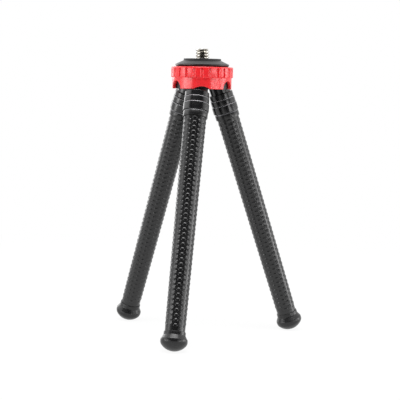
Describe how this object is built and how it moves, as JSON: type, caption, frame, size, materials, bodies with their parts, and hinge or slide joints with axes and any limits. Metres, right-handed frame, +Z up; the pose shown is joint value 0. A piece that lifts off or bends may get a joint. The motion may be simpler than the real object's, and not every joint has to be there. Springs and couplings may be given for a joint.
{
  "type": "flexible leg tripod",
  "caption": "Small camera tripod: bendable rubber-sleeved legs on a hub, under a turning head with a fluted ring, a round seat and a camera screw.",
  "frame": {"origin": "the point on the floor straight under the camera screw, level with the three soles", "axes": "+Z up along the camera screw; -Y towards the viewer of the picture"},
  "size_m": [0.0877, 0.0859, 0.1299],
  "materials": {
    "screw_steel": "nickel-plated steel, turned",
    "pad_rubber": "matt moulded rubber",
    "platform_black": "satin moulded ABS",
    "ring_red": "satin red ABS",
    "washer_nylon": "natural nylon",
    "hub_black": "black moulded nylon",
    "collar_black": "satin black moulding",
    "core_aluminium": "soft drawn aluminium rod",
    "sleeve_rubber": "satin moulded rubber with small scales",
    "foot_rubber": "smooth moulded rubber"
  },
  "bodies": {
    "hub": {"hub": "hub_black", "leg_1_collar": "collar_black", "leg_1_core_root": "core_aluminium", "leg_1_sleeve_root": "sleeve_rubber", "leg_2_collar": "collar_black", "leg_2_core_root": "core_aluminium", "leg_2_sleeve_root": "sleeve_rubber", "leg_3_collar": "collar_black", "leg_3_core_root": "core_aluminium", "leg_3_sleeve_root": "sleeve_rubber"},
    "head": {"camera_screw": "screw_steel", "seat_pad": "pad_rubber", "platform": "platform_black", "thumb_ring": "ring_red", "friction_washer": "washer_nylon", "lock_washer": "screw_steel", "lock_nut": "screw_steel"},
    "leg_1_upper": {"leg_1_bend_spread": "sleeve_rubber", "leg_1_sleeve_upper": "sleeve_rubber", "leg_1_core_upper": "core_aluminium"},
    "leg_1_middle": {"leg_1_bend_sway": "sleeve_rubber", "leg_1_sleeve_middle": "sleeve_rubber", "leg_1_core_middle": "core_aluminium"},
    "leg_1_lower": {"leg_1_bend_knee": "sleeve_rubber", "leg_1_sleeve_lower": "sleeve_rubber", "leg_1_core_lower": "core_aluminium"},
    "leg_1_tip": {"leg_1_bend_ankle": "sleeve_rubber", "leg_1_sleeve_tip": "sleeve_rubber", "leg_1_core_tip": "core_aluminium", "leg_1_foot": "foot_rubber"},
    "leg_2_upper": {"leg_2_bend_spread": "sleeve_rubber", "leg_2_sleeve_upper": "sleeve_rubber", "leg_2_core_upper": "core_aluminium"},
    "leg_2_middle": {"leg_2_bend_sway": "sleeve_rubber", "leg_2_sleeve_middle": "sleeve_rubber", "leg_2_core_middle": "core_aluminium"},
    "leg_2_lower": {"leg_2_bend_knee": "sleeve_rubber", "leg_2_sleeve_lower": "sleeve_rubber", "leg_2_core_lower": "core_aluminium"},
    "leg_2_tip": {"leg_2_bend_ankle": "sleeve_rubber", "leg_2_sleeve_tip": "sleeve_rubber", "leg_2_core_tip": "core_aluminium", "leg_2_foot": "foot_rubber"},
    "leg_3_upper": {"leg_3_bend_spread": "sleeve_rubber", "leg_3_sleeve_upper": "sleeve_rubber", "leg_3_core_upper": "core_aluminium"},
    "leg_3_middle": {"leg_3_bend_sway": "sleeve_rubber", "leg_3_sleeve_middle": "sleeve_rubber", "leg_3_core_middle": "core_aluminium"},
    "leg_3_lower": {"leg_3_bend_knee": "sleeve_rubber", "leg_3_sleeve_lower": "sleeve_rubber", "leg_3_core_lower": "core_aluminium"},
    "leg_3_tip": {"leg_3_bend_ankle": "sleeve_rubber", "leg_3_sleeve_tip": "sleeve_rubber", "leg_3_core_tip": "core_aluminium", "leg_3_foot": "foot_rubber"}
  },
  "joints": [
    {"name": "ring_turn", "type": "hinge", "parent": "hub", "child": "head", "pos_m": [0, 0, 0.11213], "axis": [0, 0, 1], "continuous": true},
    {"name": "leg_1_spread", "type": "hinge", "parent": "hub", "child": "leg_1_upper", "pos_m": [-0.00335, -0.01511, 0.0911], "axis": [-0.9763, 0.2164, 0], "range_deg": [-18, 60], "deforming": ["leg_1_bend_spread"]},
    {"name": "leg_1_sway", "type": "hinge", "parent": "leg_1_upper", "child": "leg_1_middle", "pos_m": [-0.00493, -0.02223, 0.06981], "axis": [-0.2048, -0.9237, 0.3239], "range_deg": [-45, 45], "deforming": ["leg_1_bend_sway"]},
    {"name": "leg_1_knee", "type": "hinge", "parent": "leg_1_middle", "child": "leg_1_lower", "pos_m": [-0.00651, -0.02934, 0.04852], "axis": [0.9763, -0.2164, 0], "range_deg": [-60, 60], "deforming": ["leg_1_bend_knee"]},
    {"name": "leg_1_ankle", "type": "hinge", "parent": "leg_1_lower", "child": "leg_1_tip", "pos_m": [-0.00808, -0.03646, 0.02724], "axis": [0.9763, -0.2164, 0], "range_deg": [-60, 60], "deforming": ["leg_1_bend_ankle"]},
    {"name": "leg_2_spread", "type": "hinge", "parent": "hub", "child": "leg_2_upper", "pos_m": [0.01476, 0.00465, 0.0911], "axis": [0.3007, -0.9537, 0], "range_deg": [-18, 60], "deforming": ["leg_2_bend_spread"]},
    {"name": "leg_2_sway", "type": "hinge", "parent": "leg_2_upper", "child": "leg_2_middle", "pos_m": [0.02171, 0.00685, 0.06981], "axis": [0.9023, 0.2845, 0.3239], "range_deg": [-45, 45], "deforming": ["leg_2_bend_sway"]},
    {"name": "leg_2_knee", "type": "hinge", "parent": "leg_2_middle", "child": "leg_2_lower", "pos_m": [0.02866, 0.00904, 0.04852], "axis": [-0.3007, 0.9537, 0], "range_deg": [-60, 60], "deforming": ["leg_2_bend_knee"]},
    {"name": "leg_2_ankle", "type": "hinge", "parent": "leg_2_lower", "child": "leg_2_tip", "pos_m": [0.03561, 0.01123, 0.02724], "axis": [-0.3007, 0.9537, 0], "range_deg": [-60, 60], "deforming": ["leg_2_bend_ankle"]},
    {"name": "leg_3_spread", "type": "hinge", "parent": "hub", "child": "leg_3_upper", "pos_m": [-0.01141, 0.01046, 0.0911], "axis": [0.6756, 0.7373, 0], "range_deg": [-18, 60], "deforming": ["leg_3_bend_spread"]},
    {"name": "leg_3_sway", "type": "hinge", "parent": "leg_3_upper", "child": "leg_3_middle", "pos_m": [-0.01679, 0.01538, 0.06981], "axis": [-0.6975, 0.6392, 0.3239], "range_deg": [-45, 45], "deforming": ["leg_3_bend_sway"]},
    {"name": "leg_3_knee", "type": "hinge", "parent": "leg_3_middle", "child": "leg_3_lower", "pos_m": [-0.02216, 0.0203, 0.04852], "axis": [-0.6756, -0.7373, 0], "range_deg": [-60, 60], "deforming": ["leg_3_bend_knee"]},
    {"name": "leg_3_ankle", "type": "hinge", "parent": "leg_3_lower", "child": "leg_3_tip", "pos_m": [-0.02753, 0.02523, 0.02724], "axis": [-0.6756, -0.7373, 0], "range_deg": [-60, 60], "deforming": ["leg_3_bend_ankle"]}
  ]
}
